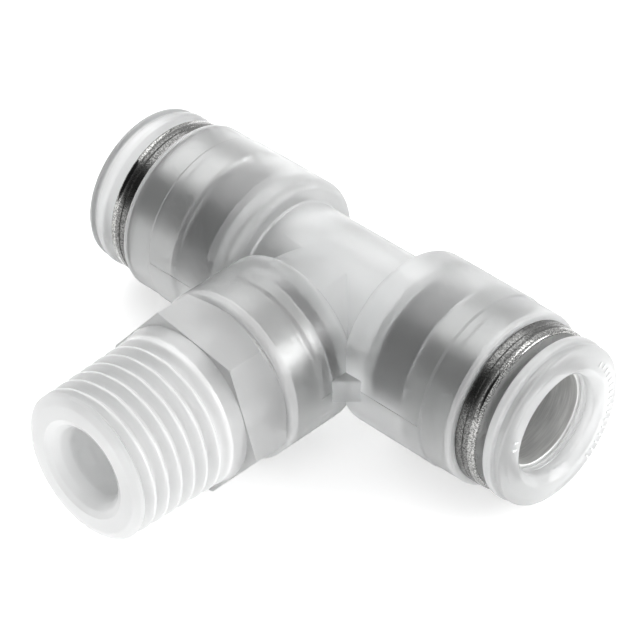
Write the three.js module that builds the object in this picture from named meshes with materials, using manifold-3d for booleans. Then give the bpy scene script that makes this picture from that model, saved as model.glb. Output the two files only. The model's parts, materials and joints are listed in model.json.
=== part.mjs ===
// Push-in tee fitting: a polypropylene tee with a tube port at each end of the run
// and a taper-threaded stud that swivels in the branch.
//
// Millimetres, +Z up. The run lies along X and the branch points along -Y.
// The part lies on its side, and the origin is the bottom centre of its box.
// Every turned piece is drawn as (radius, station) points, where the station is the
// distance outwards from the crossing of the run and branch axes.

import * as THREE from 'three';
import * as BufferGeometryUtils from 'three/addons/utils/BufferGeometryUtils.js';
import Module from 'manifold-3d';

const wasm = await Module();
wasm.setup();

// ---------------------------------------------------------------- driving dimensions

const FACETS = 32;                  // sides of a full turn
const INNER_FACETS = 20;            // sides of the small hidden pieces

// tee housing
const WAY_R = 3.1;                  // flow way through run and branch
const NECK_R = 5.97;                // plain neck between the barrels
const BARREL_R = 7.75;              // run barrels
const BRANCH_BARREL_R = 7.4;
const BARREL_REAR = 6.3;            // where a barrel rises from the neck
const BARREL_ROUND = 1.45;          // rounding of the barrel's rear edge
const RUN_STEP = 15.2;              // run barrel steps down here
const RUN_COLLAR_R = 7.6;           // run barrel after the step
const RUN_RIM = 18.4;               // open end of a run barrel
const BRANCH_RIM = 14.0;            // open end of the branch barrel
const RIM_ROUND = 0.5;
const WEB_REACH = 2.7;              // width of the 45 degree face of a corner web
const WEB_HEIGHT = 2.1;
const WEB_CENTRE = 8.35;            // distance of the web's face from each axis

// tube and its port
const TUBE_R = 4.0;                 // 8 mm outside diameter tube
const TUBE_SEAT_R = TUBE_R + 0.1;
const TUBE_STOP = 7.6;              // shoulder that the tube end meets
const SEAL_REAR = 9.0;
const SEAL_FRONT = 12.65;
const SEAL_R = 5.85;
const CARTRIDGE_REAR = 12.9;
const CARTRIDGE_R = 6.72;           // stainless sleeve inside the barrel
const CARTRIDGE_LIP_R = 7.12;       // its exposed ring
const CARTRIDGE_FRONT = 20.45;
const CARTRIDGE_BORE_R = 5.35;
const CHAMBER_R = 6.3;              // claw chamber inside the sleeve
const CHAMBER_FRONT = 15.9;
const PRESS_GAP = 0.05;             // gap round a pressed-in piece
const CLAW_SLOTS = 10;

// release ring and the stainless sleeve clipped into it
const RELEASE_TRAVEL = 0.7;
const RELEASE_HEAD_REAR = CARTRIDGE_FRONT + RELEASE_TRAVEL + 0.1;
const RELEASE_HEAD_R = 7.15;
const RELEASE_FACE = 23.5;
const RELEASE_BORE_R = 4.42;
const PUSHER_BORE_R = TUBE_R + 0.15;
const PUSHER_R = 4.6;

// threaded stud, R 1/4 taper thread
const THREAD_PITCH = 1.337;
const THREAD_DEPTH = 0.856;
const THREAD_GAUGE_R = 13.157 / 2;  // crest radius in the gauge plane
const THREAD_GAUGE_LENGTH = 6.0;    // gauge plane from the small end
const THREAD_TAPER = 1 / 32;        // radius change for each millimetre
const STUD_END = 29.45;
const THREAD_START = 19.6;
const THREAD_RUN_OUT = 28.9;
const HEX_ACROSS_FLATS = 14;
const HEX_REAR = 14.1;
const HEX_FRONT = 18.35;
const HEX_REAR_CHAMFER = 0.95;      // how far the turned-off corners reach along the axis
const HEX_FRONT_CHAMFER = 0.12;
const COLLAR_REAR = 13.1;
const COLLAR_R = 6.6;               // round shoulder inside the barrel's mouth
const SPIGOT_TIP = 6.6;
const SPIGOT_R = 4.6;
const STUD_BORE_R = 3.05;
const HEX_TURN = THREE.MathUtils.degToRad(20.5);

// stud bearing, retaining clip and seal
const BEARING_REAR = 8.95;
const BEARING_FRONT = 12.95;
const BEARING_R = 6.7;
const BEARING_BORE_R = SPIGOT_R + 0.08;
const CLIP_STATION = 11.0;
const CLIP_WIDTH = 0.6;
const CLIP_R = 5.4;
const CLIP_GAP_WIDTH = 2.4;
const O_RING_STATION = 7.65;
const O_RING_SECTION_R = 0.62;
const O_RING_R = 4.66;              // radius to the middle of the section
const O_RING_CHAMBER_R = 5.35;

// the origin lies under the middle of the box
const AXIS_HEIGHT = BARREL_R;
const CROSSING_Y = (STUD_END - BARREL_R) / 2;

// ---------------------------------------------------------------- finishes

const finish = {
  polypropylene: { color: 0xdfe2e3, roughness: 0.35, metalness: 0.0 },
  polypropyleneStud: { color: 0xe9ebec, roughness: 0.38, metalness: 0.0 },
  stainless: { color: 0xa8abad, roughness: 0.28, metalness: 1.0 },
  springSteel: { color: 0x8d9093, roughness: 0.34, metalness: 1.0 },
  rubber: { color: 0x1d1e20, roughness: 0.7, metalness: 0.0 },
};

// ---------------------------------------------------------------- helpers

/** A named mesh with a finish of its own. */
function piece(name, geometry, look) {
  const mesh = new THREE.Mesh(geometry, new THREE.MeshStandardMaterial(look));
  mesh.name = name;
  return mesh;
}

/** Points of an arc about (radius, station) = (r0, s0), angles in degrees. */
function arc(r0, s0, size, from, to, steps) {
  const points = [];
  for (let i = 0; i <= steps; i += 1) {
    const angle = THREE.MathUtils.degToRad(from + ((to - from) * i) / steps);
    points.push([r0 + size * Math.cos(angle), s0 + size * Math.sin(angle)]);
  }
  return points;
}

/** A ring or rod turned about local Y; the outline runs up the outside, down the inside. */
function turned(outline, facets = FACETS, closed = true) {
  const points = outline.map(([r, s]) => new THREE.Vector2(r, s));
  if (closed) {
    points.push(points[0].clone());
  }
  return new THREE.LatheGeometry(points, facets);
}

/** The same geometry with its shared vertices merged, ready to be cut or joined. */
function welded(geometry) {
  const bare = geometry.index ? geometry.toNonIndexed() : geometry.clone();
  bare.deleteAttribute('normal');
  bare.deleteAttribute('uv');
  return BufferGeometryUtils.mergeVertices(bare, 1e-4);
}

/** A solid that can be cut and joined. */
function solid(geometry) {
  const mesh = welded(geometry);
  const index = mesh.index.array;
  const triangles = [];
  for (let i = 0; i < index.length; i += 3) {
    const [a, b, c] = [index[i], index[i + 1], index[i + 2]];
    if (a !== b && b !== c && c !== a) {
      triangles.push(a, b, c);
    }
  }
  return new wasm.Manifold(new wasm.Mesh({
    numProp: 3,
    vertProperties: Float32Array.from(mesh.attributes.position.array),
    triVerts: Uint32Array.from(triangles),
  }));
}

/** A geometry from a finished solid. */
function geometryOf(body) {
  const mesh = body.getMesh();
  const geometry = new THREE.BufferGeometry();
  geometry.setAttribute('position', new THREE.BufferAttribute(mesh.vertProperties, 3));
  geometry.setIndex(new THREE.BufferAttribute(mesh.triVerts, 1));
  return geometry;
}

/** A turned solid pointing along the run or the branch. */
function turnedSolid(outline, turnZ, facets = FACETS) {
  const geometry = turned(outline, facets, false);
  geometry.rotateZ(turnZ);
  return solid(geometry);
}

const TO_RIGHT = -Math.PI / 2;
const TO_LEFT = Math.PI / 2;
const TO_BRANCH = Math.PI;

// ---------------------------------------------------------------- tee housing

/** Outside of a barrel, with a stub of neck that reaches the crossing. */
function barrelOutline(barrelR, rim, rimR, step) {
  const outline = [[0, 0], [NECK_R, 0], [NECK_R, BARREL_REAR]];
  outline.push(...arc(barrelR - BARREL_ROUND, BARREL_REAR + BARREL_ROUND, BARREL_ROUND, -90, 0, 3));
  if (step) {
    outline.push([barrelR, step], [rimR, step + 0.3]);
  }
  outline.push(...arc(rimR - RIM_ROUND, rim - RIM_ROUND, RIM_ROUND, 0, 90, 2));
  outline.push([0, rim]);
  return outline;
}

/** Stepped socket for the tube, seal and cartridge. */
function portBore() {
  return [
    [0, 0], [WAY_R, 0], [WAY_R, TUBE_STOP],
    [TUBE_SEAT_R, TUBE_STOP], [TUBE_SEAT_R, SEAL_REAR],
    [SEAL_R + PRESS_GAP, SEAL_REAR], [SEAL_R + PRESS_GAP, CARTRIDGE_REAR - 0.1],
    [CARTRIDGE_R + PRESS_GAP, CARTRIDGE_REAR - 0.1],
    [CARTRIDGE_R + PRESS_GAP, RUN_RIM + 1], [0, RUN_RIM + 1],
  ];
}

/** Stepped socket for the stud's seal and bearing. */
function branchBore() {
  return [
    [0, 0], [WAY_R, 0], [WAY_R, SPIGOT_TIP - 0.3],
    [O_RING_CHAMBER_R, SPIGOT_TIP - 0.3], [O_RING_CHAMBER_R, BEARING_REAR - 0.1],
    [BEARING_R + PRESS_GAP, BEARING_REAR - 0.1],
    [BEARING_R + PRESS_GAP, BRANCH_RIM + 1], [0, BRANCH_RIM + 1],
  ];
}

/** Small flat-faced web in the inner corner between a run barrel and the branch barrel. */
function cornerWeb(side) {
  const depth = 2.2;
  const box = new THREE.BoxGeometry(WEB_REACH, depth, WEB_HEIGHT);
  box.rotateZ(side * Math.PI / 4);
  const inset = depth / 2 / Math.SQRT2;
  box.translate(side * (WEB_CENTRE - inset), -(WEB_CENTRE - inset), 0);
  return solid(box);
}

function teeHousing() {
  const runOutside = barrelOutline(BARREL_R, RUN_RIM, RUN_COLLAR_R, RUN_STEP);
  const branchOutside = barrelOutline(BRANCH_BARREL_R, BRANCH_RIM, BRANCH_BARREL_R, 0);
  const outside = turnedSolid(runOutside, TO_RIGHT)
    .add(turnedSolid(runOutside, TO_LEFT))
    .add(turnedSolid(branchOutside, TO_BRANCH))
    .add(cornerWeb(1))
    .add(cornerWeb(-1));
  const inside = turnedSolid(portBore(), TO_RIGHT)
    .add(turnedSolid(portBore(), TO_LEFT))
    .add(turnedSolid(branchBore(), TO_BRANCH));
  return geometryOf(outside.subtract(inside));
}

// ---------------------------------------------------------------- tube port pieces

/** Rubber seal with a lip that leans on the tube. */
function tubeSeal() {
  const lipR = TUBE_R + 0.05;
  return turned([
    [SEAL_R, SEAL_REAR + 0.1], [SEAL_R, SEAL_FRONT],
    [5.2, SEAL_FRONT], [4.9, 11.9], [lipR, 11.3], [lipR, 10.9],
    [4.6, 10.4], [4.25, 9.9], [4.25, SEAL_REAR + 0.1],
  ], INNER_FACETS);
}

/** Backing ring that keeps the claws off the seal. */
function backingRing() {
  const rear = SEAL_FRONT + 0.35;
  return turned([
    [CHAMBER_R - PRESS_GAP, rear], [CHAMBER_R - PRESS_GAP, rear + 0.45],
    [5.6, rear + 0.45], [5.4, rear + 0.3],
    [TUBE_SEAT_R + 0.1, rear + 0.3], [TUBE_SEAT_R + 0.1, rear],
  ], INNER_FACETS);
}

/** Spring-steel ring whose slotted teeth grip the tube. */
function clawRing() {
  const rear = 13.55;
  const ring = solid(turned([
    [CHAMBER_R - PRESS_GAP, rear], [CHAMBER_R - PRESS_GAP, rear + 1.1],
    [5.5, rear + 1.1], [TUBE_R + 0.05, rear + 0.35], [TUBE_R + 0.2, rear], [5.45, rear + 0.65],
    [5.7, rear],
  ], INNER_FACETS));
  const slot = new THREE.BoxGeometry(2.2, 3, 0.5);
  slot.translate(4.6, rear + 0.5, 0);
  let cut = ring;
  for (let i = 0; i < CLAW_SLOTS; i += 1) {
    const turn = slot.clone();
    turn.rotateY(((i + 0.5) / CLAW_SLOTS) * 2 * Math.PI);
    cut = cut.subtract(solid(turn));
  }
  return geometryOf(cut);
}

/** Stainless sleeve pressed into the barrel, with a grooved ring left showing. */
function cartridgeSleeve() {
  const lipRear = RUN_RIM + 0.12;
  const groove = 19.3;
  const round = 0.28;
  return turned([
    [CHAMBER_R, CARTRIDGE_REAR], [CARTRIDGE_R, CARTRIDGE_REAR], [CARTRIDGE_R, lipRear],
    [CARTRIDGE_LIP_R, lipRear], [CARTRIDGE_LIP_R, groove - 0.12], [CARTRIDGE_LIP_R - 0.12, groove],
    [CARTRIDGE_LIP_R, groove + 0.12],
    ...arc(CARTRIDGE_LIP_R - round, CARTRIDGE_FRONT - round, round, 0, 90, 2),
    [CARTRIDGE_BORE_R, CARTRIDGE_FRONT], [CARTRIDGE_BORE_R, CHAMBER_FRONT],
    [CHAMBER_R, CHAMBER_FRONT],
  ]);
}

/** Stainless pusher that spreads the claws; its flange keeps it in the cartridge. */
function releasePusher() {
  const flangeFront = CHAMBER_FRONT - 0.08;
  return turned([
    [4.75, 15.2], [5.1, 15.48], [5.8, 15.48], [5.8, flangeFront], [PUSHER_R, flangeFront],
    [PUSHER_R, RELEASE_HEAD_REAR + 0.2], [PUSHER_BORE_R, RELEASE_HEAD_REAR + 0.2],
    [PUSHER_BORE_R, 15.2],
  ], INNER_FACETS);
}

/** Release ring: rounded flange, shallow waist and a domed face round the tube mouth. */
function releaseRing() {
  const tailR = CARTRIDGE_BORE_R - 0.2;
  const tailRear = 17.6;
  const bore = PUSHER_R + 0.1;
  const rear = RELEASE_HEAD_REAR;
  const pusherEnd = rear + 0.3;
  return turned([
    [bore, tailRear], [tailR, tailRear], [tailR, rear], [RELEASE_HEAD_R - 0.3, rear],
    ...arc(RELEASE_HEAD_R - 0.35, rear + 0.42, 0.35, -60, 60, 2),
    [6.86, rear + 0.95], [6.86, rear + 1.55], [7.0, rear + 1.65],
    [6.95, 23.0], [6.7, 23.28], [6.2, 23.44], [5.9, RELEASE_FACE], [5.15, RELEASE_FACE],
    [4.75, 23.36], [4.5, 23.05], [RELEASE_BORE_R, 22.6], [RELEASE_BORE_R, pusherEnd],
    [bore, pusherEnd],
  ]);
}

/** The pieces of one tube port, along local Y. */
function tubePort(side, turnZ) {
  const port = new THREE.Group();
  port.add(
    piece(`${side}_tube_seal`, tubeSeal(), finish.rubber),
    piece(`${side}_backing_ring`, backingRing(), finish.stainless),
    piece(`${side}_claw_ring`, clawRing(), finish.springSteel),
    piece(`${side}_cartridge_sleeve`, cartridgeSleeve(), finish.stainless),
    piece(`${side}_release_pusher`, releasePusher(), finish.stainless),
    piece(`${side}_release_ring`, releaseRing(), finish.polypropylene),
  );
  port.rotation.z = turnZ;
  return port;
}

// ---------------------------------------------------------------- threaded stud

/** Crest radius of the taper thread at a station. */
function crestRadius(station) {
  const gaugePlane = STUD_END - THREAD_GAUGE_LENGTH;
  return THREAD_GAUGE_R + (gaugePlane - station) * THREAD_TAPER;
}

/** Depth of the thread, 0 at a crest and 1 at a root, for a phase in turns. */
function threadForm(phase) {
  const ramp = 1 - Math.abs(2 * (phase - Math.floor(phase)) - 1);
  return THREE.MathUtils.clamp(1.4 * ramp - 0.2, 0, 1);
}

/** Outside of the stud as far as the hexagon, with the thread cut into it. */
function threadedRod() {
  const outline = [[0, HEX_REAR], [6.9, HEX_REAR], [6.9, HEX_FRONT + 0.2], [6.75, THREAD_START]];
  const rows = Math.round((THREAD_RUN_OUT - THREAD_START) / (THREAD_PITCH / 4));
  for (let i = 1; i <= rows; i += 1) {
    const station = THREAD_START + ((THREAD_RUN_OUT - THREAD_START) * i) / rows;
    outline.push([crestRadius(station), station]);
  }
  outline.push([6.1, 29.15], [5.65, STUD_END], [0, STUD_END]);
  const geometry = turned(outline, FACETS, false);
  const position = geometry.attributes.position;
  const point = new THREE.Vector3();
  for (let i = 0; i < position.count; i += 1) {
    point.fromBufferAttribute(position, i);
    const radius = Math.hypot(point.x, point.z);
    const inThread = point.y > THREAD_START && point.y <= THREAD_RUN_OUT + 0.001;
    if (inThread && radius > 0) {
      const turns = Math.atan2(point.x, point.z) / (2 * Math.PI);
      const fadeIn = THREE.MathUtils.clamp((point.y - THREAD_START) / THREAD_PITCH, 0, 1);
      const fadeOut = THREE.MathUtils.clamp((THREAD_RUN_OUT - point.y) / 0.5, 0, 1);
      const cut = THREAD_DEPTH * fadeIn * fadeOut * threadForm(point.y / THREAD_PITCH - turns);
      const scale = (radius - cut) / radius;
      position.setXYZ(i, point.x * scale, point.y, point.z * scale);
    }
  }
  return solid(geometry);
}

/** Hexagon with its corners turned off at both ends. */
function spannerHexagon() {
  const cornerR = HEX_ACROSS_FLATS / Math.sqrt(3);
  const length = HEX_FRONT - HEX_REAR + 0.1;
  const prism = new THREE.CylinderGeometry(cornerR, cornerR, length, 6);
  prism.rotateY(HEX_TURN);
  prism.translate(0, HEX_FRONT - length / 2, 0);
  const chamfer = turned([
    [0, HEX_REAR - 0.1], [6.95, HEX_REAR - 0.1], [6.95, HEX_REAR],
    [cornerR, HEX_REAR + HEX_REAR_CHAMFER], [cornerR, HEX_FRONT - HEX_FRONT_CHAMFER],
    [cornerR - HEX_FRONT_CHAMFER, HEX_FRONT], [0, HEX_FRONT],
  ], FACETS, false);
  return solid(prism).intersect(solid(chamfer));
}

function threadedStud() {
  const spigotAndCollar = solid(turned([
    [0, SPIGOT_TIP], [SPIGOT_R - 0.3, SPIGOT_TIP], [SPIGOT_R, SPIGOT_TIP + 0.3],
    [SPIGOT_R, 6.95], [3.98, 6.95], [3.98, 8.35], [SPIGOT_R, 8.35],
    [SPIGOT_R, CLIP_STATION - 0.4], [4.05, CLIP_STATION - 0.4],
    [4.05, CLIP_STATION + 0.4], [SPIGOT_R, CLIP_STATION + 0.4],
    [SPIGOT_R, COLLAR_REAR], [COLLAR_R - 0.35, COLLAR_REAR], [COLLAR_R, COLLAR_REAR + 0.35],
    [COLLAR_R, HEX_REAR], [0, HEX_REAR],
  ], FACETS, false));
  const bore = solid(turned([
    [0, SPIGOT_TIP - 1], [STUD_BORE_R, SPIGOT_TIP - 1], [STUD_BORE_R, 27.9],
    [3.3, 28.65], [3.8, 29.2], [4.35, STUD_END], [4.35, STUD_END + 1], [0, STUD_END + 1],
  ], FACETS, false));
  return geometryOf(threadedRod().add(spannerHexagon()).add(spigotAndCollar).subtract(bore));
}

/** Stainless bearing pressed into the branch; its inner groove holds the stud's clip. */
function studBearing() {
  const recess = CLIP_WIDTH / 2 + 0.12;
  return turned([
    [BEARING_BORE_R, BEARING_REAR], [BEARING_R, BEARING_REAR],
    [BEARING_R, 10.0], [BEARING_R - 0.2, 10.15], [BEARING_R - 0.2, 10.45], [BEARING_R, 10.6],
    [BEARING_R, BEARING_FRONT], [BEARING_BORE_R, BEARING_FRONT],
    [BEARING_BORE_R, CLIP_STATION + recess], [CLIP_R + 0.1, CLIP_STATION + recess],
    [CLIP_R + 0.1, CLIP_STATION - recess], [BEARING_BORE_R, CLIP_STATION - recess],
  ]);
}

/** Open spring clip that sits in the stud's groove. */
function studClip() {
  const half = CLIP_WIDTH / 2;
  const ring = solid(turned([
    [4.12, CLIP_STATION - half], [CLIP_R, CLIP_STATION - half],
    [CLIP_R, CLIP_STATION + half], [4.12, CLIP_STATION + half],
  ], INNER_FACETS));
  const gap = new THREE.BoxGeometry(CLIP_GAP_WIDTH, 3, 4);
  gap.translate(0, CLIP_STATION, 4.8);
  return geometryOf(ring.subtract(solid(gap)));
}

/** O-ring in the groove near the spigot's tip. */
function studSeal() {
  return turned(arc(O_RING_R, O_RING_STATION, O_RING_SECTION_R, 0, 315, 7), INNER_FACETS);
}

/** The branch pieces, along local Y. */
function branchPieces() {
  const branch = new THREE.Group();
  branch.add(
    piece('threaded_stud', threadedStud(), finish.polypropyleneStud),
    piece('stud_bearing_sleeve', studBearing(), finish.stainless),
    piece('stud_retaining_clip', studClip(), finish.springSteel),
    piece('stud_o_ring', studSeal(), finish.rubber),
  );
  branch.rotation.z = TO_BRANCH;
  return branch;
}

// ---------------------------------------------------------------- assembly

const fitting = new THREE.Group();
fitting.add(
  piece('tee_housing', teeHousing(), finish.polypropylene),
  tubePort('right', TO_RIGHT),
  tubePort('left', TO_LEFT),
  branchPieces(),
);
fitting.position.set(0, CROSSING_Y, AXIS_HEIGHT);

export default fitting;
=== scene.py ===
"""Looks for a push-in tee fitting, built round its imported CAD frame.

The run lies along X and the branch points along -Y. Every turned piece is drawn as
(radius, station, rounding) corners in millimetres, where the station is the distance
outwards from the crossing of the run and branch axes.
"""

import json
import logging
import math
from dataclasses import dataclass
from enum import Enum, IntEnum
from typing import Callable, Optional, Sequence

import bmesh
import bpy
from mathutils import Matrix, Vector


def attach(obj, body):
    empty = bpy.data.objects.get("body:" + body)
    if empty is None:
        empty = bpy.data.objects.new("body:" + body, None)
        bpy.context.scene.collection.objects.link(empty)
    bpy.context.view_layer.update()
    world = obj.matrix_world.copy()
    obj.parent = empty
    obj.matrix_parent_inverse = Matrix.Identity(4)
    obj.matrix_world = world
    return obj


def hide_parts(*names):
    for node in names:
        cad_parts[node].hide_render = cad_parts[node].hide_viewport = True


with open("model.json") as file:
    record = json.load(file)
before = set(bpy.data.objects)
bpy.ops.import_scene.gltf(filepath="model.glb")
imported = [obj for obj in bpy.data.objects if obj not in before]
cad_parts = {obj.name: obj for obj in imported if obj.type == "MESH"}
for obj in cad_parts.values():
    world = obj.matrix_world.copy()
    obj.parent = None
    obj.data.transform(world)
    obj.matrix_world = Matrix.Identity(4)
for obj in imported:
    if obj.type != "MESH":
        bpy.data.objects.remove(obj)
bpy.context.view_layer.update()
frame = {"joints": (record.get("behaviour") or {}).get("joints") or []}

MM = 0.001
TURN = 2.0 * math.pi
SHARP_ANGLE = math.radians(32.0)

log = logging.getLogger("tee_fitting")

Corner = tuple[float, ...]
Colour = tuple[float, float, float]
Mesh = bpy.types.Mesh
Holder = bpy.types.Object
Material = bpy.types.Material
Socket = bpy.types.NodeSocket


class Facing(Enum):
    """Where a turned piece points."""

    RIGHT = "right"
    LEFT = "left"
    BRANCH = "branch"

    def placing(self, crossing: Vector) -> Matrix:
        """Matrix from a turned piece's own frame, axis along +Z, to the fitting.

        Args:
            crossing: The point where the run and branch axes meet.

        Returns:
            A rotation and a shift, with no scale.
        """
        across, axis = {
            Facing.RIGHT: (Vector((0, 1, 0)), Vector((1, 0, 0))),
            Facing.LEFT: (Vector((0, -1, 0)), Vector((-1, 0, 0))),
            Facing.BRANCH: (Vector((1, 0, 0)), Vector((0, -1, 0))),
        }[self]
        turn = Matrix((across, Vector((0, 0, 1)), axis)).transposed()
        return Matrix.Translation(crossing) @ turn.to_4x4()


class Blend(Enum):
    """How one solid meets another."""

    JOIN = "UNION"
    CUT = "DIFFERENCE"
    SHARED = "INTERSECT"


class HousingPart(IntEnum):
    """Part of the housing that a face belongs to, as its material index."""

    WALL = 0
    RIM = 1
    THICK = 2
    SOCKET = 3


class SleeveSkin(IntEnum):
    """Finish of a stretch of cartridge sleeve, as its material index."""

    TURNED = 0
    GRAINED = 1
    POLISHED = 2


# ---------- mesh shop


def mirrored(corners: Sequence[Corner]) -> list[Corner]:
    """The same corners on the other side of the crossing, in reverse order."""
    return [(radius, -station, *rest) for radius, station, *rest in reversed(corners)]


def rounded(corners: Sequence[Corner], closed: bool,
            step: float = 15.0) -> list[tuple[float, float]]:
    """Replaces the corners of an outline that have a rounding by short arcs.

    Args:
        corners: (radius, station) or (radius, station, rounding) in millimetres.
        closed: True if the last corner joins the first.
        step: Largest turn between two points of an arc, in degrees.

    Returns:
        (radius, station) points in metres.
    """
    points = []
    count = len(corners)
    for i, corner in enumerate(corners):
        here = Vector(corner[:2])
        size = corner[2] if len(corner) > 2 else 0.0
        inner = closed or 0 < i < count - 1
        if size <= 0.0 or not inner:
            points.append(here)
            continue
        before = Vector(corners[i - 1][:2]) - here
        after = Vector(corners[(i + 1) % count][:2]) - here
        half = before.angle(after) / 2.0
        reach = min(size / math.tan(half), 0.48 * before.length, 0.48 * after.length)
        size = reach * math.tan(half)
        before.normalize()
        after.normalize()
        centre = here + (before + after).normalized() * (size / math.sin(half))
        start = here + before * reach - centre
        turn = math.pi - 2.0 * half
        steps = max(2, math.ceil(math.degrees(turn) / step))
        side = 1.0 if before.cross(after) < 0.0 else -1.0
        for k in range(steps + 1):
            angle = side * turn * k / steps
            points.append(centre + Matrix.Rotation(angle, 2) @ start)
    return [(p.x * MM, p.y * MM) for p in points]


def turned(
    corners: Sequence[Corner],
    sides: int = 128,
    closed: bool = True,
    pick: Optional[Callable[[float, float], int]] = None,
    start: float = 0.0,
    sweep: float = TURN,
) -> Mesh:
    """Turns an outline about +Z.

    Args:
        corners: The outline. A corner of radius 0 is a pole.
        sides: Faces round the sweep.
        closed: True for a ring, False for a solid whose ends lie on the axis.
        pick: Chooses a face's material index from its radius and station in millimetres.
        start: Angle of the first section.
        sweep: Angle that the outline turns through. Less than a turn gets flat ends.

    Returns:
        A closed mesh with its faces outwards, in metres.
    """
    outline = rounded(corners, closed)
    full = sweep >= TURN - 1e-6
    sections = sides if full else sides + 1
    bm = bmesh.new()
    rings = []
    for radius, station in outline:
        if radius < 1e-9:
            rings.append([bm.verts.new((0.0, 0.0, station))] * sections)
            continue
        ring = []
        for i in range(sections):
            angle = start + sweep * i / sides
            ring.append(bm.verts.new((radius * math.cos(angle), radius * math.sin(angle), station)))
        rings.append(ring)
    pairs = list(zip(rings, rings[1:])) + ([(rings[-1], rings[0])] if closed else [])
    ends = list(zip(outline, outline[1:])) + ([(outline[-1], outline[0])] if closed else [])
    for (lower, upper), (a, b) in zip(pairs, ends):
        index = pick((a[0] + b[0]) / 2 / MM, (a[1] + b[1]) / 2 / MM) if pick else 0
        for i in range(sides):
            j = (i + 1) % sections
            corners_of_face = []
            for vert in (lower[i], lower[j], upper[j], upper[i]):
                if vert not in corners_of_face:
                    corners_of_face.append(vert)
            if len(corners_of_face) > 2:
                bm.faces.new(corners_of_face).material_index = index
    if not full:
        bm.faces.new([ring[0] for ring in rings])
        bm.faces.new([ring[-1] for ring in reversed(rings)])
    return finished(bm, "turned")


def finished(bm: bmesh.types.BMesh, name: str) -> Mesh:
    """Merges doubles, turns the faces outwards and writes a mesh.

    Args:
        bm: The mesh being built. It is freed.
        name: Name of the new mesh.

    Returns:
        The new mesh.
    """
    bmesh.ops.remove_doubles(bm, verts=bm.verts, dist=1e-7)
    bmesh.ops.recalc_face_normals(bm, faces=bm.faces)
    mesh = bpy.data.meshes.new(name)
    bm.to_mesh(mesh)
    bm.free()
    return mesh


def block(size: Sequence[float], matrix: Matrix, bevel: float = 0.0) -> Mesh:
    """A box with rounded edges.

    Args:
        size: Its length along each axis in millimetres.
        matrix: Where it goes, in metres.
        bevel: Rounding of its edges in millimetres.

    Returns:
        The box as a mesh.
    """
    bm = bmesh.new()
    bmesh.ops.create_cube(bm, size=1.0, matrix=Matrix.Diagonal((*[s * MM for s in size], 1.0)))
    if bevel > 0.0:
        bmesh.ops.bevel(
            bm, geom=bm.edges[:], offset=bevel * MM, segments=3, profile=0.5, affect="EDGES")
    bmesh.ops.transform(bm, matrix=matrix, verts=bm.verts)
    return finished(bm, "block")


def linked(name: str, data: bpy.types.ID) -> Holder:
    """A new object in the scene that holds the given mesh, lamp or camera."""
    holder = bpy.data.objects.new(name, data)
    bpy.context.scene.collection.objects.link(holder)
    return holder


def moved(mesh: Mesh, matrix: Matrix) -> Mesh:
    """The mesh after a matrix has been applied to it."""
    mesh.transform(matrix)
    return mesh


def evaluated(mesh: Mesh, fit: Callable[[Holder], None]) -> Mesh:
    """Runs modifiers on a mesh and returns the plain result.

    Args:
        mesh: The mesh to work on.
        fit: Adds the modifiers to a temporary object that holds it.

    Returns:
        A new mesh with the modifiers applied.
    """
    holder = linked("workpiece", mesh)
    fit(holder)
    graph = bpy.context.evaluated_depsgraph_get()
    result = bpy.data.meshes.new_from_object(holder.evaluated_get(graph))
    bpy.data.objects.remove(holder)
    return result


def combined(base: Mesh, tool: Mesh, how: Blend) -> Mesh:
    """Joins, cuts or intersects two closed solids.

    Args:
        base: The solid that is kept.
        tool: The solid that works on it.
        how: The operation.

    Returns:
        The resulting solid.
    """
    other = linked("tool", tool)

    def fit(holder: Holder) -> None:
        """Adds the Boolean modifier."""
        boolean = holder.modifiers.new("combine", "BOOLEAN")
        boolean.operation = how.value
        boolean.solver = "EXACT"
        boolean.object = other

    result = evaluated(base, fit)
    bpy.data.objects.remove(other)
    return result


def softened(mesh: Mesh, width: float, angle: float = 25.0) -> Mesh:
    """Rounds the sharp edges of a solid.

    Args:
        mesh: The solid.
        width: Width of the rounding in millimetres.
        angle: Edges sharper than this many degrees are rounded.

    Returns:
        The rounded solid.
    """

    def fit(holder: Holder) -> None:
        """Adds the Bevel modifier."""
        bevel = holder.modifiers.new("edges", "BEVEL")
        bevel.width = width * MM
        bevel.segments = 3
        bevel.limit_method = "ANGLE"
        bevel.angle_limit = math.radians(angle)

    return evaluated(mesh, fit)


def joined(meshes: Sequence[Mesh]) -> Mesh:
    """Several meshes as one, each keeping its own shells.

    Args:
        meshes: The meshes. They share one list of materials.

    Returns:
        The mesh that holds them all.
    """
    bm = bmesh.new()
    for mesh in meshes:
        bm.from_mesh(mesh)
    result = bpy.data.meshes.new("joined")
    bm.to_mesh(result)
    bm.free()
    return result


# ---------- geometry node trees


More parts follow.
